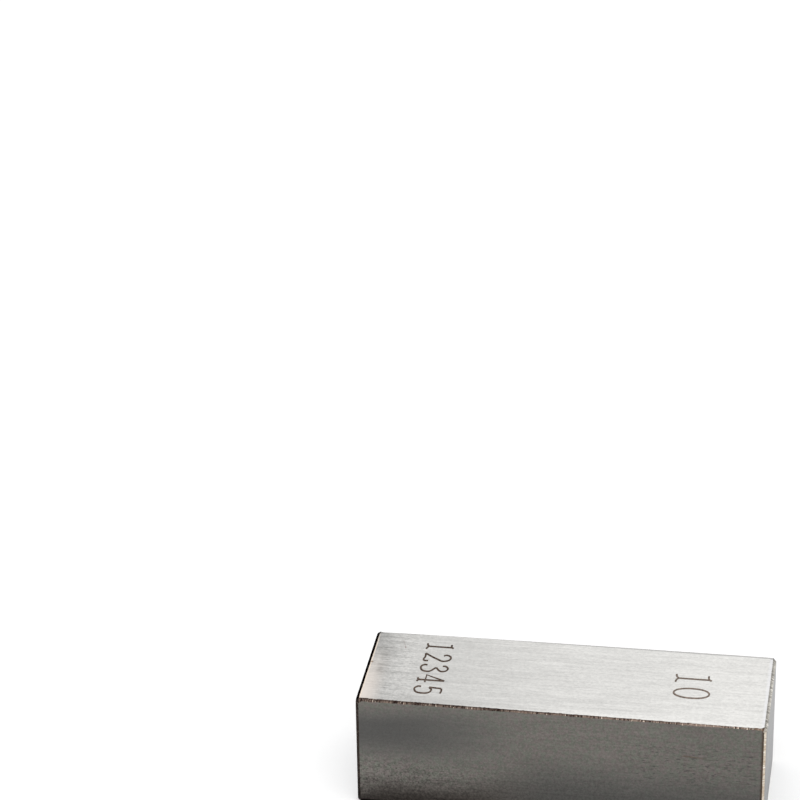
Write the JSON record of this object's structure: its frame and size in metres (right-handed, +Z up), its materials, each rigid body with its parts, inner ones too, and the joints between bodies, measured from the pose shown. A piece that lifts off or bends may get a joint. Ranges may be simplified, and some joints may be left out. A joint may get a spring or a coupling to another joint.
{
  "type": "gauge block",
  "caption": "Rectangular steel gauge block lying on a side face, with two lapped measuring faces and finely bevelled edges.",
  "frame": {"origin": "centre of the side face that the block lies on", "axes": "+X along the section's 30 mm side, +Y along the 10 mm gauge length, square to the measuring faces, +Z up from the side face it lies on to the marked one"},
  "size_m": [0.03, 0.01, 0.009],
  "materials": {
    "gauge_steel": "finely ground side faces, lapped measuring faces"
  },
  "bodies": {
    "root": {"gauge_block": "gauge_steel"}
  },
  "joints": []
}
